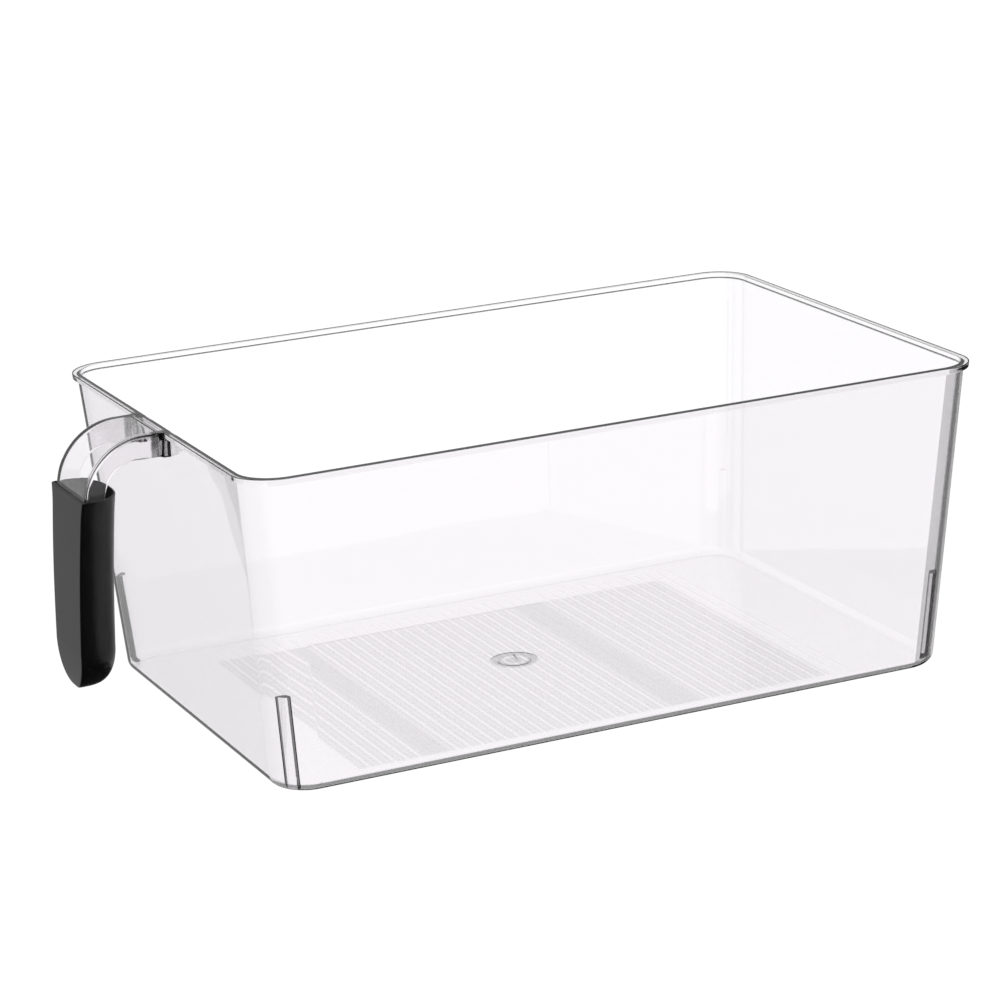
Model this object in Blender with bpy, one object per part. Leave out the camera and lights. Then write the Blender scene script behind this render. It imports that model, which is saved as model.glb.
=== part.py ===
"""Clear fridge bin with an arched handle arm and a soft black grip sleeve.

Metres, +Z up.  The long side lies along X with the handle at -X, and the origin is the
centre of the underside that the bin stands on.
"""

import math

import bmesh
import bpy

# ---- driving dimensions ----------------------------------------------------------------
RIM_LENGTH = 0.3200          # over the rim bead, along X
RIM_WIDTH = 0.2112           # over the rim bead, along Y
HEIGHT = 0.1294              # underside to the top of the rim
BASE_LENGTH = 0.2956         # outside, at the underside
BASE_WIDTH = 0.1886
WALL = 0.0012
FLOOR = 0.0015
BEAD_OUT = 0.0020            # how far the rim bead stands out of the wall
BEAD_TALL = 0.00246
BEAD_ROUND = 0.0004          # edge radius of the bead
RIM_CORNER = 0.0168          # corner radius over the bead
BASE_CORNER = 0.0156         # corner radius at the underside
FOOT_ROUND = 0.0044          # outside radius between wall and underside
COVE = 0.0032                # inside radius between wall and floor

RIB_TOP = 0.0400             # height of the four corner ribs
RIB_SOLE = 0.0007            # how far above the underside's skin a rib starts
RIB_WIDTH = 0.0062
RIB_DEPTH = 0.0030           # how far a rib stands into the bin
RIB_BURY = 0.0005            # how far its root runs into the wall

ARM_HALF_WIDTH = 0.0168      # of the arm's outer skin
ARM_SKIN = 0.0020
ARM_FLANGE = 0.0018
ARM_DEPTH = 0.0090           # outer face to flange edge, round the bend
ARM_ROOT_DEPTH = 0.0104      # the same at the wall
ARM_DRAFT = 0.20             # how much the flanges lean together, per unit of depth
ARM_START = -0.1540          # where the arm starts, inside the wall, before it is trimmed
ARM_SHARES = (0.06, 0.12, 0.2, 0.4, 0.6, 0.8, 1.0)   # sections from the bend down
ROOT_SHARE = 0.5             # share of the bend over which the root's depth runs out
BEND_X = -0.1682             # centre of the bend
BEND_RADIUS = 0.0256         # outer face of the bend
ARM_END_Z = 0.0460           # lower end of the arm, inside the sleeve
FIT_GAP = 0.0003             # clearance between separate pieces

GRIP_TOP = 0.1064            # mouth of the sleeve
GRIP_TIP = 0.0266            # its lowest point
GRIP_TURN = 0.0440           # height at which the round lower end starts
GRIP_FRONT_TOP = -0.1953     # outer face at the mouth
GRIP_FRONT_LOW = -0.1993     # outer face where the round end starts
GRIP_BELLY = 0.0005          # crown of the outer face along its length
GRIP_DEPTH = 0.0178          # outer face to back
GRIP_HALF_TOP = 0.0180       # half width under the flared mouth
GRIP_HALF_LOW = 0.0156       # half width where the round end starts
GRIP_FLARE = 0.0012          # extra half width of the mouth
FLARE_TALL = 0.0090          # height over which the mouth flares
GRIP_WALL = 0.0012
GRIP_EDGE = 0.0010           # radius of the two front edges
GRIP_POWER = 2.7             # squareness of the rounded back
GRIP_NOSE = 0.16             # how far the lowest point lies behind the outer face
GRIP_FULL = 0.55             # fullness of the round lower end, seen from the side
BODY_SHARES = (0.0, 0.03, 0.07, 0.12, 0.30, 0.50, 0.70, 0.86, 1.0)
NOSE_TURNS = (15, 30, 45, 58, 70, 80, 87)            # sections of the round lower end
EDGE_SHARE = 0.3             # a front edge's chamfer point, as a share of its radius

CORNER_STEPS = 7             # steps in a corner's quarter turn
RIB_STEPS = 10               # steps round a rib's crest
FOOT_TURNS = (0, 18, 36, 54, 72, 90)
COVE_TURNS = (0, 30, 60, 90)
BACK_STEPS = 24              # steps round the back of the sleeve
BEND_STEPS = 12              # steps round the arm's bend

CLEAR = (0.90, 0.91, 0.93, 1.0)
BLACK = (0.018, 0.017, 0.019, 1.0)


# ---- tools -----------------------------------------------------------------------------
def start_clean():
    for old in list(bpy.data.objects):
        bpy.data.objects.remove(old, do_unlink=True)


def new_collection(name):
    made = bpy.data.collections.new(name)
    bpy.context.scene.collection.children.link(made)
    return made


def new_material(name, colour, roughness, transmission=0.0):
    made = bpy.data.materials.new(name)
    made.use_nodes = True
    shader = made.node_tree.nodes["Principled BSDF"]
    shader.inputs["Base Color"].default_value = colour
    shader.inputs["Roughness"].default_value = roughness
    shader.inputs["Metallic"].default_value = 0.0
    shader.inputs["Transmission Weight"].default_value = transmission
    return made


def loft(name, rings, where):
    """One closed solid through rings of equal length, capped at both ends."""
    mesh = bmesh.new()
    rows = [[mesh.verts.new(point) for point in ring] for ring in rings]
    count = len(rings[0])
    for low, high in zip(rows, rows[1:]):
        for i in range(count):
            j = (i + 1) % count
            mesh.faces.new((low[i], low[j], high[j], high[i]))
    mesh.faces.new(rows[0][::-1])
    mesh.faces.new(rows[-1])
    bmesh.ops.recalc_face_normals(mesh, faces=mesh.faces)
    data = bpy.data.meshes.new(name)
    mesh.to_mesh(data)
    mesh.free()
    made = bpy.data.objects.new(name, data)
    where.objects.link(made)
    return made


def boolean(target, tool, operation):
    step = target.modifiers.new(tool.name, "BOOLEAN")
    step.operation = operation
    step.solver = "EXACT"
    step.object = tool
    tool.hide_render = True
    tool.display_type = "WIRE"


def finish(made, material, degrees=30):
    made.data.materials.append(material)
    made.data.shade_smooth()
    made.data.set_sharp_from_angle(angle=math.radians(degrees))


def mix(a, b, share):
    return a + (b - a) * share


# ---- tub -------------------------------------------------------------------------------
def outside_at(z):
    """Half length, half width and corner radius of the outer wall at height z."""
    share = z / HEIGHT
    half_x = mix(BASE_LENGTH, RIM_LENGTH - 2 * BEAD_OUT, share) / 2
    half_y = mix(BASE_WIDTH, RIM_WIDTH - 2 * BEAD_OUT, share) / 2
    return half_x, half_y, mix(BASE_CORNER, RIM_CORNER - BEAD_OUT, share)


def wall_ring(z, grow):
    """The outer wall's rounded rectangle at height z, grown outwards by grow."""
    half_x, half_y, radius = outside_at(z)
    straight_x = half_x - radius
    straight_y = half_y - radius
    radius += grow
    ring = []
    for quarter, (side_x, side_y) in enumerate(((1, 1), (-1, 1), (-1, -1), (1, -1))):
        for step in range(CORNER_STEPS + 1):
            turn = math.pi / 2 * (quarter + step / CORNER_STEPS)
            x = side_x * straight_x + radius * math.cos(turn)
            y = side_y * straight_y + radius * math.sin(turn)
            ring.append((x, y, z))
    return ring


def outer_rings(grow):
    """From the underside up the outer wall and round the bead to the rim's top."""
    rings = []
    for turn in FOOT_TURNS:
        lift = FOOT_ROUND * (1 - math.cos(math.radians(turn)))
        inset = FOOT_ROUND * (1 - math.sin(math.radians(turn)))
        rings.append(wall_ring(lift, grow - inset))
    under = HEIGHT - BEAD_TALL - grow
    rings.append(wall_ring(under, grow))
    rings.append(wall_ring(under, grow + BEAD_OUT - BEAD_ROUND))
    rings.append(wall_ring(under + BEAD_ROUND, grow + BEAD_OUT))
    rings.append(wall_ring(HEIGHT - BEAD_ROUND, grow + BEAD_OUT))
    rings.append(wall_ring(HEIGHT, grow + BEAD_OUT - BEAD_ROUND))
    return rings


def inner_rings():
    """From the rim's top down the inner wall and round the cove to the floor."""
    rings = [wall_ring(HEIGHT, BEAD_ROUND - WALL), wall_ring(HEIGHT - BEAD_ROUND, -WALL)]
    for turn in COVE_TURNS:
        lift = FLOOR + COVE * (1 - math.sin(math.radians(turn)))
        inset = WALL + COVE * (1 - math.cos(math.radians(turn)))
        rings.append(wall_ring(lift, -inset))
    return rings


def foot_height(inset):
    """Height of the foot's outer skin at this distance inside the wall's face."""
    reach = max(0.0, FOOT_ROUND - inset)
    return FOOT_ROUND - math.sqrt(FOOT_ROUND ** 2 - reach ** 2)


def rib_outline(radius):
    """Half-round outline of a rib: reach along the corner's diagonal, and across it."""
    base = radius - WALL
    outline = [(base + RIB_BURY, RIB_WIDTH / 2), (base + RIB_BURY, -RIB_WIDTH / 2)]
    for step in range(RIB_STEPS + 1):
        turn = math.pi * step / RIB_STEPS
        outline.append((base - RIB_DEPTH * math.sin(turn), -RIB_WIDTH / 2 * math.cos(turn)))
    return outline


def corner_rib(name, side_x, side_y, where):
    """A vertical rib on a corner's diagonal, leaning out with the wall."""
    sole = []
    for reach, across in rib_outline(BASE_CORNER):
        sole.append(RIB_SOLE + foot_height(BASE_CORNER - math.hypot(reach, across)))
    rings = []
    for heights in (sole, [RIB_TOP] * len(sole)):
        ring = []
        outline = rib_outline(outside_at(heights[0])[2])
        for z, (reach, across) in zip(heights, outline):
            half_x, half_y, radius = outside_at(z)
            along = reach * math.sqrt(0.5)
            aside = across * math.sqrt(0.5)
            x = side_x * (half_x - radius + along - aside)
            y = side_y * (half_y - radius + along + aside)
            ring.append((x, y, z))
        rings.append(ring)
    return loft(name, rings, where)


def make_tub(parts, tools, material):
    tub = loft("tub", outer_rings(0.0) + inner_rings(), parts)
    for number, (side_x, side_y) in enumerate(((1, 1), (-1, 1), (-1, -1), (1, -1))):
        rib = corner_rib(f"rib_tool_{number}", side_x, side_y, tools)
        boolean(tub, rib, "UNION")
    finish(tub, material)
    return tub


# ---- grip sleeve -----------------------------------------------------------------------
def grip_front(z):
    """X of the sleeve's outer face at height z: it leans out from the wall, downwards."""
    share = (GRIP_TOP - z) / (GRIP_TOP - GRIP_TURN)
    lean = mix(GRIP_FRONT_TOP, GRIP_FRONT_LOW, share)
    return lean - GRIP_BELLY * math.sin(math.pi * min(share, 1.0))


def grip_half(z):
    """Half width of the sleeve at height z, above its round lower end."""
    share = (GRIP_TOP - z) / (GRIP_TOP - GRIP_TURN)
    flare = max(0.0, 1 - (GRIP_TOP - z) / FLARE_TALL) ** 2 * GRIP_FLARE
    return mix(GRIP_HALF_TOP, GRIP_HALF_LOW, share) + flare


def grip_ring(z, front, half, depth, edge):
    """A flat front edge with two small radii, then a squarish half round behind it."""
    edge = min(edge, half * EDGE_SHARE)
    ring = []
    for step in range(BACK_STEPS + 1):
        turn = math.pi * step / BACK_STEPS
        back = max(0.0, math.sin(turn)) ** (2 / GRIP_POWER)
        side = math.copysign(abs(math.cos(turn)) ** (2 / GRIP_POWER), math.cos(turn))
        ring.append((front + edge + (depth - edge) * back, half * side, z))
    bevel = edge * EDGE_SHARE
    ring.append((front + bevel, -half + bevel, z))
    ring.append((front, -half + edge, z))
    ring.append((front, half - edge, z))
    ring.append((front + bevel, half - bevel, z))
    return ring


def grip_rings(inset, tip):
    """Rings from the mouth down to the tip, moved inwards by inset."""
    rings = []
    depth = GRIP_DEPTH - 2 * inset
    edge = GRIP_EDGE - inset / 2
    for share in BODY_SHARES:
        z = mix(GRIP_TOP, GRIP_TURN, share)
        half = grip_half(z) - inset
        rings.append(grip_ring(z, grip_front(z) + inset, half, depth, edge))
    half = grip_half(GRIP_TURN) - inset
    front = grip_front(GRIP_TURN) + inset
    for turn in NOSE_TURNS:
        down = math.sin(math.radians(turn))
        narrow = math.cos(math.radians(turn))
        shallow = narrow ** GRIP_FULL
        z = mix(GRIP_TURN, tip, down)
        nose = GRIP_NOSE * depth * (1 - shallow)
        rings.append(grip_ring(z, front + nose, half * narrow, depth * shallow, edge))
    return rings


def make_grip(parts, material):
    outer = grip_rings(0.0, GRIP_TIP)
    inner = grip_rings(GRIP_WALL, GRIP_TIP + GRIP_WALL)
    grip = loft("grip_sleeve", outer[::-1] + inner, parts)
    finish(grip, material)
    return grip


# ---- handle arm ------------------------------------------------------------------------
def arm_section(x, z, turn, half, depth):
    """U section at an outer-face point; turn is 0 on the level and 90 straight down."""
    out_x = -math.sin(math.radians(turn))
    out_z = math.cos(math.radians(turn))
    rear = half - ARM_DRAFT * depth
    inner = half - ARM_DRAFT * ARM_SKIN - ARM_FLANGE
    outline = ((0.0, half), (depth, rear), (depth, rear - ARM_FLANGE), (ARM_SKIN, inner),
               (ARM_SKIN, -inner), (depth, ARM_FLANGE - rear), (depth, -rear), (0.0, -half))
    return [(x - out_x * deep, y, z - out_z * deep) for deep, y in outline]


def arm_rings():
    bend_z = HEIGHT - BEND_RADIUS
    rings = [arm_section(ARM_START, HEIGHT, 0, ARM_HALF_WIDTH, ARM_ROOT_DEPTH)]
    for step in range(BEND_STEPS + 1):
        share = step / BEND_STEPS
        turn = 90 * share
        x = BEND_X - BEND_RADIUS * math.sin(math.radians(turn))
        z = bend_z + BEND_RADIUS * math.cos(math.radians(turn))
        depth = mix(ARM_ROOT_DEPTH, ARM_DEPTH, min(1.0, share / ROOT_SHARE))
        rings.append(arm_section(x, z, turn, ARM_HALF_WIDTH, depth))
    lean = math.degrees(math.atan2(GRIP_FRONT_TOP - GRIP_FRONT_LOW, GRIP_TOP - GRIP_TURN))
    for share in ARM_SHARES:
        z = mix(bend_z, ARM_END_Z, share)
        x = grip_front(z) + GRIP_WALL + FIT_GAP
        half = grip_half(z) - GRIP_WALL - 2 * FIT_GAP
        rings.append(arm_section(x, z, 90 - lean, half, ARM_DEPTH))
    return rings


def make_arm(parts, tools, material):
    arm = loft("handle_arm", arm_rings(), parts)
    body = loft("tub_clearance", outer_rings(FIT_GAP), tools)
    boolean(arm, body, "DIFFERENCE")
    finish(arm, material)
    return arm


def main():
    start_clean()
    parts = new_collection("fridge_bin")
    tools = new_collection("fridge_bin_cutters")
    clear = new_material("clear_plastic", CLEAR, 0.03, transmission=1.0)
    black = new_material("soft_black", BLACK, 0.45)
    make_tub(parts, tools, clear)
    make_arm(parts, tools, clear)
    make_grip(parts, black)


main()
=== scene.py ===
import math

import bmesh
import bpy
from mathutils import Matrix, Vector


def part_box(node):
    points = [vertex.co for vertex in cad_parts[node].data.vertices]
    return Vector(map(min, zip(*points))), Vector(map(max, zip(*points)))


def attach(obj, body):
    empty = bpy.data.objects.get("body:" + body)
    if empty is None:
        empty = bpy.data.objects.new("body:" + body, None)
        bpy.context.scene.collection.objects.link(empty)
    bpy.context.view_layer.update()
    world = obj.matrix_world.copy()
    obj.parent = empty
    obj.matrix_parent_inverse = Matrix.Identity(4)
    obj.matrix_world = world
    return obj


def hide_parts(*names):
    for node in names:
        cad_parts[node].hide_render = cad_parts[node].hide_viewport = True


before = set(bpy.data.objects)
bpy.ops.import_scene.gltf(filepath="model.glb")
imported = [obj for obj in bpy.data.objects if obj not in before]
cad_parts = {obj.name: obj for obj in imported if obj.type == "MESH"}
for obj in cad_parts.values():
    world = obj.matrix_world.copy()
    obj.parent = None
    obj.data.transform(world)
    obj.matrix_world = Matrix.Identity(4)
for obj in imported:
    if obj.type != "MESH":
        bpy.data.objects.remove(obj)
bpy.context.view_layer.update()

# ---- driving dimensions, in metres -----------------------------------------------------
# The tub and the arm are one clear moulding, the grip a soft sleeve pushed on the arm.
TUB_LOW, TUB_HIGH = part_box("tub")
GRIP_LOW, GRIP_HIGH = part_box("grip_sleeve")
RIM_LENGTH = 0.3200
RIM_WIDTH = TUB_HIGH.y - TUB_LOW.y
HEIGHT = TUB_HIGH.z
BASE_LENGTH = 0.2956
BASE_WIDTH = 0.1886
WALL = 0.0012
FLOOR = 0.0015
BEAD_OUT = 0.0020
BEAD_TALL = 0.00246
BEAD_ROUND = 0.0004
RIM_CORNER = 0.0168
BASE_CORNER = 0.0156
FOOT_ROUND = 0.0044
COVE = 0.0032
INNER_CORNER = 0.0010        # the inside corners are rounder than the outside by this

RIB_TOP = 0.0400
RIB_SOLE = 0.0007
RIB_WIDTH = 0.0062
RIB_DEPTH = 0.0034
RIB_BURY = 0.0005
LOW_RIB_DEPTH = 0.0008       # the fourth rib, far from the arm, is only a low swelling

ARM_HALF_WIDTH = 0.0168
ARM_SKIN = 0.0012
ARM_FLANGE = 0.0018
ARM_DEPTH = 0.0090
ARM_ROOT_DEPTH = 0.0104
ARM_DRAFT = 0.20
ARM_EDGE = 0.0004
ARM_INNER_EDGE = 0.0008
ARM_LIP = 0.0006
BEND_X = -0.1682
BEND_RADIUS = 0.0256
ARM_END_Z = 0.0460
ROOT_FILLET = 0.0024
ARM_SINK = 0.00006            # the arm's top lies this far below the rim's
ARM_SHARES = (0.06, 0.12, 0.2, 0.4, 0.6, 0.8, 1.0)   # sections from the bend down

GRIP_TOP = GRIP_HIGH.z
GRIP_TIP = GRIP_LOW.z
GRIP_TURN = 0.0440
GRIP_FRONT_TOP = -0.1953
GRIP_FRONT_LOW = -0.1993
GRIP_BELLY = 0.0005
GRIP_DEPTH = 0.0178
GRIP_HALF_TOP = 0.0180
GRIP_HALF_LOW = 0.0156
GRIP_FLARE = 0.0012
FLARE_TALL = 0.0090
GRIP_WALL = 0.0012
GRIP_EDGE = 0.0010
GRIP_POWER = 2.7
GRIP_BEVEL = 0.0005
GRIP_NOSE = 0.16             # how far the lowest point lies behind the outer face
GRIP_FULL = 0.55             # fullness of the round lower end, seen from the side
GRIP_CROWD = 1.5             # draws the sleeve's sections up towards its mouth
GRIP_LAST_TURN = 88.5        # the last section of the round lower end, in degrees
FIT_GAP = 0.0003

LINE_SHIFT = 0.0007
LINE_PITCH = 0.00539         # fine lines moulded into the underside, along Y
LINE_WIDTH = 0.0022
LINE_DEPTH = 0.00003
LINES_X = 0.1080             # they fill this half length and half width of the floor
LINES_Y = 0.0800
GATE_X, GATE_Y = -0.0038, 0.0042
GATE_RADIUS = 0.0086         # a shallow ring groove round the moulding gate
GATE_WIDTH = 0.0036
GATE_DEPTH = 0.00012
GATE_STEPS = 48

# ---- shading of the clear plastic: shares of light lost to marks and painted shade, and where ---
PLASTIC_TINT = (0.998, 0.984, 1.0)
PLASTIC_IOR = 1.54
WAVE_SCALE = 26.0            # very slow unevenness of the moulded skin
WAVE_STRENGTH = 0.05
WAVE_DEPTH = 0.002
ABSORBED = (0.5, 0.49, 0.51, 1.0)
ABSORBING = 8.0

PANEL_SHADE = 0.34           # the fine-ribbed panel of the floor
PANEL_X = (-0.1100, 0.0970)
PANEL_Y = (-0.0800, 0.0675)
PLAIN_STRIPS = ((-0.0825, -0.0742), (0.0267, 0.0383))   # bands along Y without lines
STRIP_SHADE = 0.06
BORDER_SHADE = 0.25          # a short step beside the panel
BORDER_X = (-0.0725, 0.0400)
BORDER_Y = (0.0678, 0.0688)
RING_SHADE = 0.62            # the gate's ring and its core, by distance from its middle
RING_REACH = (0.0066, 0.0086)
CORE_SHADE = 0.50
CORE_REACH = (0.0010, 0.0030)
UNDERSIDE = (0.0004, 0.0008)  # floor shading fades out between these heights

END_SHADE = 0.050            # painted shade on the two end walls
END_FACING = (0.45, 0.80)
EDGE_SHADE = 0.75            # painted shade on the radius between wall and underside
EDGE_DOWN = (0.30, 0.93)     # how far a face of it looks down
# painted shade on the rim's bead
BEAD_SHADE = 0.10
ROOT_SHADE = 0.88            # painted shade at the roots of the arm's two flanges
ROOT_X = (-0.1640, -0.1580)
ROOT_Y = (0.0140, 0.0190)
ROOT_Z = (0.1170, 0.1190)
BEND_SOFT = 0.60             # painted shade on a corner's bend towards its edge, and close to its edge
BEND_HARD = 0.80
BEND_SOFT_FACING = (0.165, 0.195)
BEND_HARD_FACING = (0.42, 0.48)
BEND_PAST = 0.6              # how much later the soft part starts further round the bend
BEND_SIDE = (0.50, 0.70)
BEND_DOWN = (0.25, 0.45)
BEND_SLOPE_X = (RIM_LENGTH / 2 - RIM_CORNER - (BASE_LENGTH / 2 - BASE_CORNER)) / HEIGHT
BEND_SLOPE_Y = (RIM_WIDTH / 2 - RIM_CORNER - (BASE_WIDTH / 2 - BASE_CORNER)) / HEIGHT

# ---- shading of the black grip ---------------------------------------------------------
BLACK = (0.018, 0.017, 0.019)
BLACK_IOR = 1.5
BLACK_GLOSS = 0.32           # roughness outside; the hollow inside is dull and painted darker as shade
HOLLOW_SHADE = 0.05
GRAIN_SCALE = 2400.0
GRAIN_STRENGTH = 0.08
GRAIN_DEPTH = 0.0001

RIB_STEPS = 24
CORNER_STEPS = 20
ROUND_STEPS = 8
BEND_STEPS = 36
BACK_STEPS = 56
SLEEVE_STEPS = 24
LINE_STEPS = 6
GROOVE_STEPS = 8
TOOL_DROP = 0.0005           # how far a cutting shape reaches below the underside

# ---- camera and studio -----------------------------------------------------------------
CAMERA_AZIMUTH = math.radians(-24.78)
CAMERA_ELEVATION = math.radians(16.35)
CAMERA_ROLL = math.radians(-2.40)
CAMERA_AWAY = 1.51264
CAMERA_RIGHT = -0.011136
CAMERA_UP = 0.068672
CAMERA_LENS = 129.384
CAMERA_NEAR = 0.05
CAMERA_FAR = 200.0
FLOOR_GLOW = 1.03
FLOOR_HALF = 40.0
FLOOR_DROP = 0.0002
THROUGH = 1.09               # brightness of the surroundings seen through the plastic
THROUGH_UP = 0.35            # the same towards the ceiling
THROUGH_DOWN = 0.75          # and its share towards the table
BOUNCED = 0.85               # what is left of light reflected once by the plastic
TRAPPED = 0.26               # and what is left again after each later reflection
MIRROR_LOW, MIRROR_HIGH = 0.04, 0.56     # surroundings in mirror reflections, along +Y
MIRROR_TOP = 0.35                        # and overhead
LIGHT_STEPS = 24             # crossings of the plastic that light is followed through


# ---- mesh tools ------------------------------------------------------------------------
def mix(a, b, share):
    return a + (b - a) * share


def add_loft(mesh, rings, closed=False):
    """One closed solid through rings of equal length: capped at both ends, or a loop."""
    rows = [[mesh.verts.new(point) for point in ring] for ring in rings]
    count = len(rings[0])
    if closed:
        rows.append(rows[0])
    for low, high in zip(rows, rows[1:]):
        for i in range(count):
            j = (i + 1) % count
            mesh.faces.new((low[i], low[j], high[j], high[i]))
    if not closed:
        mesh.faces.new(rows[0][::-1])
        mesh.faces.new(rows[-1])


def new_object(name, fill):
    """An object whose mesh is made by fill(bmesh), with its faces pointing out."""
    mesh = bmesh.new()
    fill(mesh)
    bmesh.ops.recalc_face_normals(mesh, faces=mesh.faces)
    data = bpy.data.meshes.new(name)
    mesh.to_mesh(data)
    mesh.free()
    made = bpy.data.objects.new(name, data)
    bpy.context.scene.collection.objects.link(made)
    return made


def boolean(target, tool, operation):
    """Joins or cuts with tool for good, and removes the tool."""
    step = target.modifiers.new(tool.name, "BOOLEAN")
    step.operation = operation
    step.solver = "EXACT"
    step.object = tool
    apply_all(target)
    bpy.data.objects.remove(tool, do_unlink=True)


def apply_all(target):
    graph = bpy.context.evaluated_depsgraph_get()
    baked = bpy.data.meshes.new_from_object(target.evaluated_get(graph))
    target.modifiers.clear()
    target.data = baked


def smooth(made, degrees=28):
    """Smooth faces, sharp where the surface turns hard, flat walls kept flat."""
    made.data.shade_smooth()
    made.data.set_sharp_from_angle(angle=math.radians(degrees))
    step = made.modifiers.new("even_normals", "WEIGHTED_NORMAL")
    step.keep_sharp = True
    step.weight = 80
    apply_all(made)


def rounded(corners, steps=5):
    """A closed outline whose corners (x, y, radius) are replaced by arcs."""
    outline = []
    count = len(corners)
    for i, (x, y, radius) in enumerate(corners):
        here = Vector((x, y))
        before = Vector(corners[i - 1][:2])
        after = Vector(corners[(i + 1) % count][:2])
        into = (before - here).normalized()
        out = (after - here).normalized()
        half = into.angle(out) / 2
        reach = radius / math.tan(half)
        centre = here + (into + out).normalized() * radius / math.sin(half)
        start = here + into * reach - centre
        end = here + out * reach - centre
        sweep = start.angle_signed(end)
        for step in range(steps + 1):
            turn = -sweep * step / steps
            outline.append((
                centre.x + start.x * math.cos(turn) - start.y * math.sin(turn),
                centre.y + start.x * math.sin(turn) + start.y * math.cos(turn),
            ))
    return outline


# ---- clear moulding --------------------------------------------------------------------
def outside_at(z):
    """Half length, half width and corner radius of the outer wall at height z."""
    share = z / HEIGHT
    half_x = mix(BASE_LENGTH, RIM_LENGTH - 2 * BEAD_OUT, share) / 2
    half_y = mix(BASE_WIDTH, RIM_WIDTH - 2 * BEAD_OUT, share) / 2
    return half_x, half_y, mix(BASE_CORNER, RIM_CORNER - BEAD_OUT, share)


def wall_ring(z, grow, rounder=0.0):
    """The outer wall's rounded rectangle at height z, grown outwards by grow."""
    half_x, half_y, radius = outside_at(z)
    straight_x = half_x - radius - rounder
    straight_y = half_y - radius - rounder
    radius += grow + rounder
    ring = []
    for quarter, (side_x, side_y) in enumerate(((1, 1), (-1, 1), (-1, -1), (1, -1))):
        for step in range(CORNER_STEPS + 1):
            turn = math.pi / 2 * (quarter + step / CORNER_STEPS)
            x = side_x * straight_x + radius * math.cos(turn)
            y = side_y * straight_y + radius * math.sin(turn)
            ring.append((x, y, z))
    return ring


def quarter_turn(steps=ROUND_STEPS):
    return [math.pi / 2 * step / steps for step in range(steps + 1)]


def outer_rings():
    """From the underside up the outer wall and round the bead to the rim's top."""
    rings = []
    for turn in quarter_turn():
        rings.append(wall_ring(FOOT_ROUND * (1 - math.cos(turn)),
                               -FOOT_ROUND * (1 - math.sin(turn))))
    under = HEIGHT - BEAD_TALL
    for turn in quarter_turn():
        rings.append(wall_ring(under - BEAD_ROUND * (1 - math.sin(turn)),
                               BEAD_ROUND * (1 - math.cos(turn))))
    for turn in quarter_turn():
        rings.append(wall_ring(under + BEAD_ROUND * (1 - math.cos(turn)),
                               BEAD_OUT - BEAD_ROUND * (1 - math.sin(turn))))
    for turn in quarter_turn():
        rings.append(wall_ring(HEIGHT - BEAD_ROUND * (1 - math.sin(turn)),
                               BEAD_OUT - BEAD_ROUND * (1 - math.cos(turn))))
    return rings


def inner_rings():
    """From the rim's top down the inner wall and round the cove to the floor."""
    rings = []
    for turn in quarter_turn():
        rings.append(wall_ring(HEIGHT - BEAD_ROUND * (1 - math.cos(turn)),
                               BEAD_ROUND * (1 - math.sin(turn)) - WALL, INNER_CORNER))
    for turn in quarter_turn():
        rings.append(wall_ring(FLOOR + COVE * (1 - math.sin(turn)),
                               -WALL - COVE * (1 - math.cos(turn)), INNER_CORNER))
    return rings


def foot_height(inset):
    """Height of the foot's outer skin at this distance inside the wall's face."""
    reach = max(0.0, FOOT_ROUND - inset)
    return FOOT_ROUND - math.sqrt(FOOT_ROUND ** 2 - reach ** 2)


def rib_outline(radius, depth=RIB_DEPTH, power=1.0):
    """Half-round outline of a rib: reach along the corner's diagonal, and across it."""
    base = radius - WALL
    outline = [(base + RIB_BURY, RIB_WIDTH / 2), (base + RIB_BURY, -RIB_WIDTH / 2)]
    for step in range(RIB_STEPS + 1):
        turn = math.pi * step / RIB_STEPS
        lift = depth * max(0.0, math.sin(turn)) ** power
        outline.append((base - lift, -RIB_WIDTH / 2 * math.cos(turn)))
    return outline


def corner_rib(side_x, side_y, depth=RIB_DEPTH, power=1.0):
    """A vertical rib on a corner's diagonal, leaning out with the wall."""
    sole = []
    for reach, across in rib_outline(BASE_CORNER, depth, power):
        sole.append(RIB_SOLE + foot_height(BASE_CORNER - math.hypot(reach, across)))
    rings = []
    for heights in (sole, [RIB_TOP] * len(sole)):
        ring = []
        outline = rib_outline(outside_at(heights[0])[2], depth, power)
        for z, (reach, across) in zip(heights, outline):
            half_x, half_y, radius = outside_at(z)
            along = reach * math.sqrt(0.5)
            aside = across * math.sqrt(0.5)
            x = side_x * (half_x - radius + along - aside)
            y = side_y * (half_y - radius + along + aside)
            ring.append((x, y, z))
        rings.append(ring)
    return rings


def floor_line(x):
    """A shallow round-bottomed groove along Y in the underside."""
    ring = []
    for step in range(LINE_STEPS + 1):
        share = step / LINE_STEPS * 2 - 1
        ring.append((x + share * LINE_WIDTH / 2, LINE_DEPTH * (1 - share * share)))
    ring += [(x + LINE_WIDTH / 2, -TOOL_DROP), (x - LINE_WIDTH / 2, -TOOL_DROP)]
    return [[(px, y, pz) for px, pz in ring] for y in (-LINES_Y, LINES_Y)]


def gate_rings():
    """A round-topped ring groove round the gate, as a closed loop of sections."""
    rings = []
    for step in range(GATE_STEPS):
        turn = 2 * math.pi * step / GATE_STEPS
        ring = []
        for number in range(GROOVE_STEPS + 1):
            across = math.pi * number / GROOVE_STEPS
            reach = GATE_RADIUS + GATE_WIDTH / 2 * math.cos(across)
            ring.append((reach, GATE_DEPTH * math.sin(across)))
        ring.append((GATE_RADIUS - GATE_WIDTH / 2, -GATE_DEPTH))
        ring.append((GATE_RADIUS + GATE_WIDTH / 2, -GATE_DEPTH))
        rings.append([(GATE_X + reach * math.cos(turn), GATE_Y + reach * math.sin(turn), z)
                      for reach, z in ring])
    return rings


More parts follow.
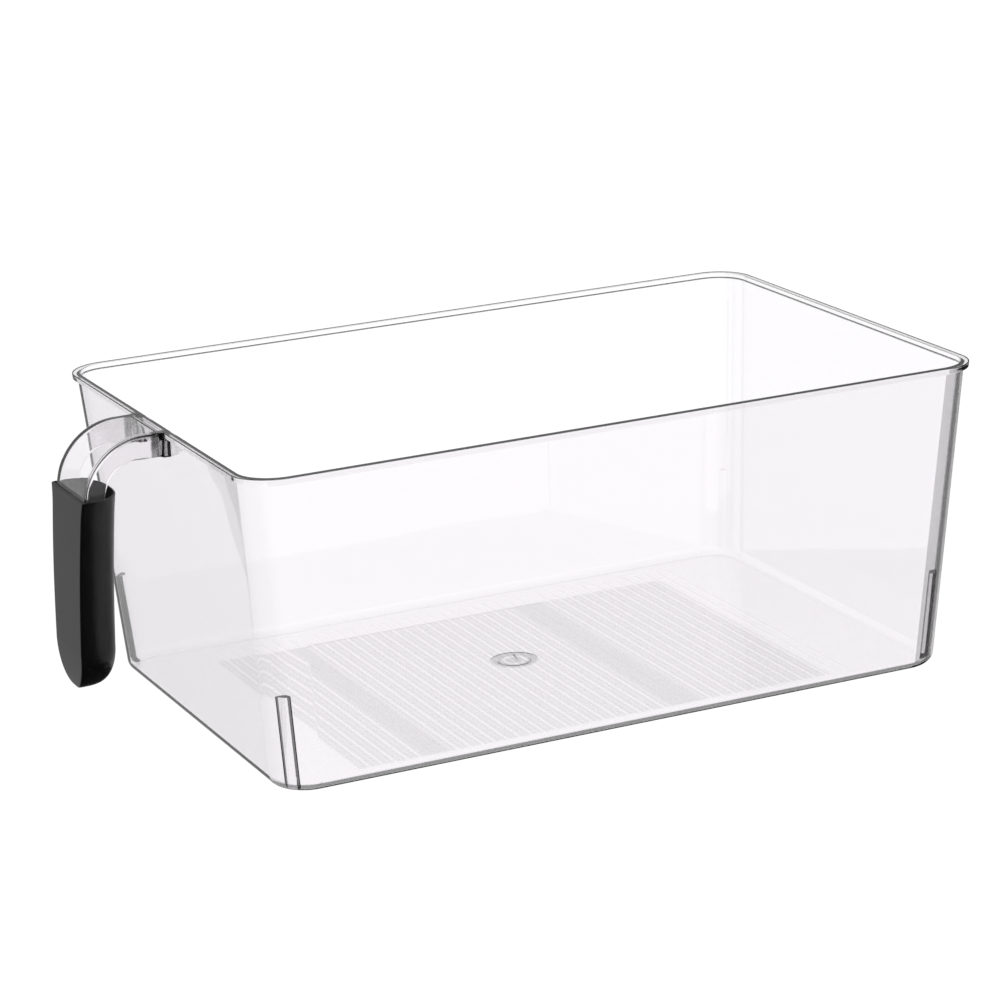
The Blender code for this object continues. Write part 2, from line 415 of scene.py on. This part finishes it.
def grip_front(z):
    """X of the sleeve's outer face at height z: it leans out from the wall, downwards."""
    share = (GRIP_TOP - z) / (GRIP_TOP - GRIP_TURN)
    lean = mix(GRIP_FRONT_TOP, GRIP_FRONT_LOW, share)
    return lean - GRIP_BELLY * math.sin(math.pi * max(0.0, min(share, 1.0)))


def grip_half(z):
    """Half width of the sleeve at height z, above its round lower end."""
    share = (GRIP_TOP - z) / (GRIP_TOP - GRIP_TURN)
    flare = max(0.0, 1 - (GRIP_TOP - z) / FLARE_TALL) ** 2 * GRIP_FLARE
    return mix(GRIP_HALF_TOP, GRIP_HALF_LOW, share) + flare


def arm_section(x, z, turn, half, depth, flare=0.0):
    """U section at an outer-face point; turn is 0 on the level and 90 straight down."""
    out_x = -math.sin(math.radians(turn))
    out_z = math.cos(math.radians(turn))
    wide = half + flare
    rear = half - ARM_DRAFT * depth + flare
    thick = ARM_FLANGE + 2 * flare
    inner = half - ARM_DRAFT * ARM_SKIN - ARM_FLANGE - flare
    skin = ARM_SKIN + flare
    outline = rounded((
        (0.0, wide, ARM_EDGE), (depth, rear, ARM_LIP), (depth, rear - thick, ARM_LIP),
        (skin, inner, ARM_INNER_EDGE), (skin, -inner, ARM_INNER_EDGE),
        (depth, thick - rear, ARM_LIP), (depth, -rear, ARM_LIP), (0.0, -wide, ARM_EDGE)))
    return [(x - out_x * deep, y, z - out_z * deep) for deep, y in outline]


def arm_rings():
    top = HEIGHT - ARM_SINK
    bend_z = top - BEND_RADIUS
    rim_x = -RIM_LENGTH / 2
    first = arm_section(rim_x, top, 0, ARM_HALF_WIDTH, ARM_ROOT_DEPTH, ROOT_FILLET)
    rings = [[(WALL / 2 - outside_at(z)[0], y, z) for x, y, z in first]]
    for turn in quarter_turn():
        away = ROOT_FILLET * (1 - math.cos(turn))
        flare = ROOT_FILLET * (1 - math.sin(turn))
        rings.append(arm_section(rim_x - away, top, 0, ARM_HALF_WIDTH, ARM_ROOT_DEPTH, flare))
    for step in range(BEND_STEPS + 1):
        share = step / BEND_STEPS
        turn = 90 * share
        x = BEND_X - BEND_RADIUS * math.sin(math.radians(turn))
        z = bend_z + BEND_RADIUS * math.cos(math.radians(turn))
        depth = mix(ARM_ROOT_DEPTH, ARM_DEPTH, min(1.0, share * 2))
        rings.append(arm_section(x, z, turn, ARM_HALF_WIDTH, depth))
    lean = math.degrees(math.atan2(GRIP_FRONT_TOP - GRIP_FRONT_LOW, GRIP_TOP - GRIP_TURN))
    for share in ARM_SHARES:
        z = mix(bend_z, ARM_END_Z, share)
        x = grip_front(z) + GRIP_WALL + FIT_GAP
        half = grip_half(z) - GRIP_WALL - 2 * FIT_GAP
        rings.append(arm_section(x, z, 90 - lean, half, ARM_DEPTH))
    return rings


def make_clear_body(material):
    body = new_object("clear_body", lambda mesh: add_loft(mesh, outer_rings() + inner_rings()))
    boolean(body, new_object("arm", lambda mesh: add_loft(mesh, arm_rings())), "UNION")

    def ribs(mesh):
        for side_x, side_y in ((-1, 1), (-1, -1), (1, -1)):
            add_loft(mesh, corner_rib(side_x, side_y))
        add_loft(mesh, corner_rib(1, 1, LOW_RIB_DEPTH, 2.0))

    boolean(body, new_object("ribs", ribs), "UNION")

    def lines(mesh):
        count = int(LINES_X / LINE_PITCH)
        for number in range(-count, count + 1):
            add_loft(mesh, floor_line(number * LINE_PITCH + LINE_SHIFT))

    boolean(body, new_object("lines", lines), "DIFFERENCE")
    boolean(body, new_object("gate", lambda mesh: add_loft(mesh, gate_rings(), True)), "DIFFERENCE")
    smooth(body)
    body.data.materials.clear()
    body.data.materials.append(material)
    return body


# ---- grip ------------------------------------------------------------------------------
def grip_ring(z, front, half, depth, edge):
    """A flat front edge with two small radii, then a squarish half round behind it."""
    edge = min(edge, half * 0.3)
    ring = []
    for step in range(BACK_STEPS + 1):
        turn = math.pi * step / BACK_STEPS
        back = max(0.0, math.sin(turn)) ** (2 / GRIP_POWER)
        side = math.copysign(abs(math.cos(turn)) ** (2 / GRIP_POWER), math.cos(turn))
        ring.append((front + edge + (depth - edge) * back, half * side, z))
    for side in (-1, 1):
        for turn in quarter_turn(5):
            slide = math.cos(turn) if side < 0 else math.sin(turn)
            lift = math.sin(turn) if side < 0 else math.cos(turn)
            ring.append((front + edge * (1 - lift), side * (half - edge * (1 - slide)), z))
    return ring


def grip_rings(inset, tip):
    """Rings from the mouth down to the tip, moved inwards by inset."""
    rings = []
    depth = GRIP_DEPTH - 2 * inset
    edge = GRIP_EDGE - 0.5 * inset
    for step in range(SLEEVE_STEPS + 1):
        share = (step / SLEEVE_STEPS) ** GRIP_CROWD
        z = mix(GRIP_TOP, GRIP_TURN, share)
        rings.append(grip_ring(z, grip_front(z) + inset, grip_half(z) - inset, depth, edge))
    half = grip_half(GRIP_TURN) - inset
    front = grip_front(GRIP_TURN) + inset
    for step in range(1, SLEEVE_STEPS + 1):
        turn = math.radians(GRIP_LAST_TURN * step / SLEEVE_STEPS)
        narrow = math.cos(turn)
        shallow = narrow ** GRIP_FULL
        z = mix(GRIP_TURN, tip, math.sin(turn))
        nose = GRIP_NOSE * depth * (1 - shallow)
        rings.append(grip_ring(z, front + nose, half * narrow, depth * shallow, edge))
    return rings


def make_grip(material):
    outer = grip_rings(0.0, GRIP_TIP)
    inner = grip_rings(GRIP_WALL, GRIP_TIP + GRIP_WALL)
    mouth = []
    for turn in quarter_turn(4):
        inset = GRIP_BEVEL * (1 - math.cos(turn))
        z = GRIP_TOP - GRIP_BEVEL * (1 - math.sin(turn))
        mouth.append(grip_ring(z, grip_front(z) + inset, grip_half(z) - inset,
                               GRIP_DEPTH - 2 * inset, GRIP_EDGE - 0.5 * inset))
    outer[0] = mouth[0]
    outside = outer[::-1] + mouth[1:]
    grip = new_object("black_grip", lambda mesh: add_loft(mesh, outside + inner))
    hollow = grip.data.attributes.new("hollow", "FLOAT", "POINT")
    first_inside = len(outside) * len(inner[0])
    for number, point in enumerate(hollow.data):
        point.value = float(number >= first_inside)
    smooth(grip, 40)
    grip.data.materials.append(material)
    grip.visible_glossy = False
    return grip


# ---- materials -------------------------------------------------------------------------
def new_material(name):
    made = bpy.data.materials.new(name)
    made.use_nodes = True
    tree = made.node_tree
    return made, tree, tree.nodes["Principled BSDF"]


def add_node(tree, kind, **values):
    node = tree.nodes.new(kind)
    for name, value in values.items():
        if name in node.inputs:
            node.inputs[name].default_value = value
        else:
            setattr(node, name, value)
    return node


def ramp(tree, source, low, high, low_value=0.0, high_value=1.0):
    """A smooth step from low_value to high_value as the source goes from low to high."""
    node = tree.nodes.new("ShaderNodeMapRange")
    node.interpolation_type = "SMOOTHSTEP"
    node.inputs["From Min"].default_value = low
    node.inputs["From Max"].default_value = high
    node.inputs["To Min"].default_value = low_value
    node.inputs["To Max"].default_value = high_value
    tree.links.new(source, node.inputs["Value"])
    return node.outputs["Result"]


def maths(tree, kind, *values):
    """A math node fed by numbers or by other nodes' sockets."""
    node = tree.nodes.new("ShaderNodeMath")
    node.operation = kind
    for socket, value in zip(node.inputs, values):
        if isinstance(value, float):
            socket.default_value = value
        else:
            tree.links.new(value, socket)
    return node.outputs[0]


def product(tree, *values):
    result = values[0]
    for value in values[1:]:
        result = maths(tree, "MULTIPLY", result, value)
    return result


def less(tree, *losses):
    """What is left after each share of the light is lost."""
    return product(tree, *[maths(tree, "SUBTRACT", 1.0, loss) for loss in losses])


def inside_band(tree, source, span, soft):
    """One within the span, falling to nothing over soft outside it."""
    low, high = span
    return maths(tree, "MULTIPLY", ramp(tree, source, low - soft, low),
                 ramp(tree, source, high, high + soft, 1.0, 0.0))


def entering_light(tree):
    """One where light goes into the plastic, nothing where it comes out."""
    face = tree.nodes.new("ShaderNodeNewGeometry")
    return maths(tree, "SUBTRACT", 1.0, face.outputs["Backfacing"])


def moulded_lines(tree, x, strips):
    """Pale lines along Y, with a fainter one between each two, and none on the plain strips."""
    along = maths(tree, "ADD", x, LINE_PITCH * 40 - LINE_SHIFT)
    coarse = maths(tree, "PINGPONG", along, LINE_PITCH / 2)
    fine = maths(tree, "PINGPONG", along, LINE_PITCH / 4)
    faint = maths(tree, "MULTIPLY", 0.5, ramp(tree, fine, 0.0, LINE_PITCH * 0.10, 1.0, 0.0))
    line = maths(tree, "MAXIMUM", ramp(tree, coarse, 0.0, LINE_PITCH * 0.20, 1.0, 0.0), faint)
    return product(tree, line, less(tree, strips))


def gate_distance(tree, x, y):
    gap_x = maths(tree, "SUBTRACT", x, GATE_X)
    gap_y = maths(tree, "SUBTRACT", y, GATE_Y)
    squares = maths(tree, "ADD", maths(tree, "MULTIPLY", gap_x, gap_x),
                    maths(tree, "MULTIPLY", gap_y, gap_y))
    return maths(tree, "SQRT", squares)


def floor_shade(tree, x, y, z):
    """The underside's ribbed panel, its border and the gate mark at its middle."""
    strips = maths(tree, "ADD", inside_band(tree, x, PLAIN_STRIPS[0], 0.0015),
                   inside_band(tree, x, PLAIN_STRIPS[1], 0.0015))
    line = moulded_lines(tree, x, strips)
    under = ramp(tree, z, *UNDERSIDE, 1.0, 0.0)
    panel = product(tree, inside_band(tree, x, PANEL_X, 0.004),
                    inside_band(tree, y, PANEL_Y, 0.003), under)
    lost = product(tree, panel, less(tree, line),
                   maths(tree, "ADD", PANEL_SHADE, maths(tree, "MULTIPLY", strips, STRIP_SHADE)))
    border = product(tree, inside_band(tree, y, BORDER_Y, 0.0004),
                     inside_band(tree, x, BORDER_X, 0.002), under, BORDER_SHADE)
    away = gate_distance(tree, x, y)
    ring = product(tree, inside_band(tree, away, RING_REACH, 0.0024), under, RING_SHADE)
    core = product(tree, inside_band(tree, away, CORE_REACH, 0.0016), under, CORE_SHADE)
    return less(tree, lost, border, ring, core)


def edge_shade(tree, x, y, z, down):
    """Painted shade on the foot's small radius and the rim's bead, for light coming in from outside."""
    entering = entering_light(tree)
    foot = product(tree, inside_band(tree, down, EDGE_DOWN, 0.06), entering,
                   ramp(tree, z, FOOT_ROUND, FOOT_ROUND + 0.0002, 1.0, 0.0), EDGE_SHADE)
    beyond = maths(tree, "MAXIMUM", maths(tree, "SUBTRACT", x, RIM_LENGTH / 2 - BEAD_OUT),
                   maths(tree, "SUBTRACT", y, RIM_WIDTH / 2 - BEAD_OUT))
    bead = product(tree, ramp(tree, z, HEIGHT - BEAD_TALL - 0.0006, HEIGHT - BEAD_TALL), entering,
                   ramp(tree, beyond, -0.0002, 0.0), BEAD_SHADE)
    return less(tree, foot, bead)


def root_shade(tree, x, y, z):
    """Painted shade at the thick roots of the arm's two flanges, where they meet the wall."""
    place = product(tree, inside_band(tree, x, ROOT_X, 0.0010),
                    inside_band(tree, y, ROOT_Y, 0.0010), ramp(tree, z, *ROOT_Z))
    return less(tree, maths(tree, "MULTIPLY", place, ROOT_SHADE))


def bend_shade(tree, x, y, z, outwards, side, down):
    """Painted shade: a corner's bend is darkened towards its edge, where it is seen at a low angle."""
    rim = add_node(tree, "ShaderNodeLayerWeight", Blend=0.5)
    low = rim.outputs["Facing"]
    lean_x = maths(tree, "SUBTRACT", x, maths(tree, "MULTIPLY", z, BEND_SLOPE_X))
    lean_y = maths(tree, "SUBTRACT", y, maths(tree, "MULTIPLY", z, BEND_SLOPE_Y))
    place = product(tree, maths(tree, "GREATER_THAN", lean_x, BASE_LENGTH / 2 - BASE_CORNER),
                    maths(tree, "GREATER_THAN", lean_y, BASE_WIDTH / 2 - BASE_CORNER),
                    maths(tree, "GREATER_THAN", outwards, 0.0), entering_light(tree),
                    ramp(tree, maths(tree, "ABSOLUTE", down), *BEND_DOWN, 1.0, 0.0),
                    ramp(tree, side, *BEND_SIDE, 1.0, 0.0))
    past = maths(tree, "SUBTRACT", low, maths(tree, "MULTIPLY", side, BEND_PAST))
    soft = ramp(tree, past, *BEND_SOFT_FACING, 0.0, BEND_SOFT)
    hard = ramp(tree, low, *BEND_HARD_FACING, 0.0, BEND_HARD)
    return less(tree, maths(tree, "MULTIPLY", place, soft), maths(tree, "MULTIPLY", place, hard))


def add_bump(tree, shader, where, scale, detail, strength, distance):
    """Fine noise in object space, as a bump on the shader."""
    noise = add_node(tree, "ShaderNodeTexNoise", Scale=scale, Detail=detail)
    bump = add_node(tree, "ShaderNodeBump", Strength=strength, Distance=distance)
    tree.links.new(where.outputs["Object"], noise.inputs["Vector"])
    tree.links.new(noise.outputs["Fac"], bump.inputs["Height"])
    tree.links.new(bump.outputs["Normal"], shader.inputs["Normal"])


def split(tree, socket):
    parts = tree.nodes.new("ShaderNodeSeparateXYZ")
    tree.links.new(socket, parts.inputs[0])
    return parts.outputs


def scaled_colour(tree, colour, scale, socket):
    """Feeds the socket with the colour times a scale that varies over the surface."""
    tint = tree.nodes.new("ShaderNodeVectorMath")
    tint.operation = "SCALE"
    tint.inputs[0].default_value = colour
    tree.links.new(scale, tint.inputs["Scale"])
    tree.links.new(tint.outputs[0], socket)


def make_clear():
    made, tree, shader = new_material("clear_plastic")
    shader.inputs["Roughness"].default_value = 0.0
    shader.inputs["IOR"].default_value = PLASTIC_IOR
    shader.inputs["Transmission Weight"].default_value = 1.0
    where = add_node(tree, "ShaderNodeTexCoord")
    add_bump(tree, shader, where, WAVE_SCALE, 1.0, WAVE_STRENGTH, WAVE_DEPTH)
    x, y, z = split(tree, where.outputs["Object"])
    facing_x, facing_y, facing_z = split(tree, where.outputs["Normal"])
    side = maths(tree, "ABSOLUTE", facing_x)
    end = ramp(tree, side, *END_FACING)
    down = maths(tree, "MULTIPLY", facing_z, -1.0)
    far_x = maths(tree, "ABSOLUTE", x)
    far_y = maths(tree, "ABSOLUTE", y)
    outwards = maths(tree, "MULTIPLY", x, facing_x)
    # base colour: the floor's moulded marks, and painted shade on edges, roots, bends and end walls
    clear = product(tree, floor_shade(tree, x, y, z),
                    edge_shade(tree, far_x, far_y, z, down),
                    bend_shade(tree, far_x, far_y, z, outwards, side, down),
                    root_shade(tree, x, far_y, z),
                    less(tree, maths(tree, "MULTIPLY", end, END_SHADE)))
    scaled_colour(tree, PLASTIC_TINT, clear, shader.inputs["Base Color"])
    depth = add_node(tree, "ShaderNodeVolumeAbsorption")
    depth.inputs["Color"].default_value = ABSORBED
    depth.inputs["Density"].default_value = ABSORBING
    tree.links.new(depth.outputs["Volume"], tree.nodes["Material Output"].inputs["Volume"])
    return made


def make_black():
    made, tree, shader = new_material("soft_black")
    shader.inputs["Base Color"].default_value = (*BLACK, 1.0)
    shader.inputs["Roughness"].default_value = BLACK_GLOSS
    shader.inputs["IOR"].default_value = BLACK_IOR
    where = add_node(tree, "ShaderNodeTexCoord")
    add_bump(tree, shader, where, GRAIN_SCALE, 2.0, GRAIN_STRENGTH, GRAIN_DEPTH)
    hollow = add_node(tree, "ShaderNodeAttribute", attribute_name="hollow")
    dull = ramp(tree, hollow.outputs["Fac"], 0.0, 1.0, BLACK_GLOSS, 1.0)
    tree.links.new(dull, shader.inputs["Roughness"])
    # painted shade: the base colour is darker inside the hollow
    hollow_shade = ramp(tree, hollow.outputs["Fac"], 0.0, 1.0, 1.0, HOLLOW_SHADE)
    scaled_colour(tree, BLACK, hollow_shade, shader.inputs["Base Color"])
    return made


# ---- studio ----------------------------------------------------------------------------
def glow_material(name, strength):
    made, tree, shader = new_material(name)
    shader.inputs["Base Color"].default_value = (0.0, 0.0, 0.0, 1.0)
    shader.inputs["Specular IOR Level"].default_value = 0.0
    shader.inputs["Emission Color"].default_value = (1.0, 1.0, 1.0, 1.0)
    shader.inputs["Emission Strength"].default_value = strength
    return made


def make_floor():
    """A pale floor that glows evenly for the camera and lights nothing else."""
    def fill(mesh):
        sides = ((-1, -1), (1, -1), (1, 1), (-1, 1))
        corners = [(x * FLOOR_HALF, y * FLOOR_HALF, -FLOOR_DROP) for x, y in sides]
        mesh.faces.new([mesh.verts.new(corner) for corner in corners])

    floor = new_object("floor", fill)
    floor.data.materials.append(glow_material("pale_floor", FLOOR_GLOW))
    floor.visible_transmission = False
    floor.visible_glossy = False
    floor.visible_diffuse = False
    floor.visible_shadow = False
    return floor


def make_world():
    """White through the clear walls and for the camera, soft and uneven in reflections."""
    world = bpy.data.worlds.new("studio")
    bpy.context.scene.world = world
    world.use_nodes = True
    tree = world.node_tree
    path = tree.nodes.new("ShaderNodeLightPath")
    place = tree.nodes.new("ShaderNodeTexCoord")
    x, y, z = split(tree, place.outputs["Generated"])
    clear = product(tree, ramp(tree, z, 0.35, 0.80, THROUGH, THROUGH_UP),
                    ramp(tree, z, -0.85, -0.50, THROUGH_DOWN, 1.0))
    bounces = path.outputs["Glossy Depth"]
    first = maths(tree, "MINIMUM", bounces, 1.0)
    again = maths(tree, "MAXIMUM", maths(tree, "SUBTRACT", bounces, 1.0), 0.0)
    left = product(tree, maths(tree, "POWER", BOUNCED, first), maths(tree, "POWER", TRAPPED, again))
    mirrored = maths(tree, "MAXIMUM", ramp(tree, y, 0.60, 0.97, MIRROR_LOW, MIRROR_HIGH),
                     ramp(tree, z, 0.15, 0.60, 0.0, MIRROR_TOP))
    seen = path.outputs["Is Transmission Ray"]
    other = maths(tree, "SUBTRACT", 1.0, seen)
    glow = maths(tree, "ADD", product(tree, clear, left, seen), maths(tree, "MULTIPLY", mirrored, other))
    direct = maths(tree, "MULTIPLY", FLOOR_GLOW, path.outputs["Is Camera Ray"])
    background = tree.nodes["Background"]
    tree.links.new(maths(tree, "MAXIMUM", glow, direct), background.inputs["Strength"])
    background.inputs["Color"].default_value = (1.0, 1.0, 1.0, 1.0)


def make_camera():
    azimuth, elevation = CAMERA_AZIMUTH, CAMERA_ELEVATION
    back = Vector((math.sin(azimuth) * math.cos(elevation),
                   -math.cos(azimuth) * math.cos(elevation), math.sin(elevation)))
    level = Vector((0, 0, 1)).cross(back).normalized()
    rise = back.cross(level)
    right = level * math.cos(CAMERA_ROLL) + rise * math.sin(CAMERA_ROLL)
    up = rise * math.cos(CAMERA_ROLL) - level * math.sin(CAMERA_ROLL)
    data = bpy.data.cameras.new("camera")
    data.lens = CAMERA_LENS
    data.clip_start = CAMERA_NEAR
    data.clip_end = CAMERA_FAR
    camera = bpy.data.objects.new("camera", data)
    bpy.context.scene.collection.objects.link(camera)
    camera.location = right * CAMERA_RIGHT + up * CAMERA_UP + back * CAMERA_AWAY
    camera.rotation_mode = "QUATERNION"
    camera.rotation_quaternion = Matrix((right, up, back)).transposed().to_quaternion()
    bpy.context.scene.camera = camera


def set_look():
    scene = bpy.context.scene
    scene.view_settings.view_transform = "Standard"
    scene.cycles.max_bounces = LIGHT_STEPS
    scene.cycles.transmission_bounces = LIGHT_STEPS
    scene.cycles.glossy_bounces = LIGHT_STEPS
    scene.cycles.use_denoising = True


clear = make_clear()
black = make_black()
body = make_clear_body(clear)
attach(body, "root")
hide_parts("tub", "handle_arm")
grip = make_grip(black)
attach(grip, "root")
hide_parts("grip_sleeve")
make_floor()
make_world()
make_camera()
set_look()
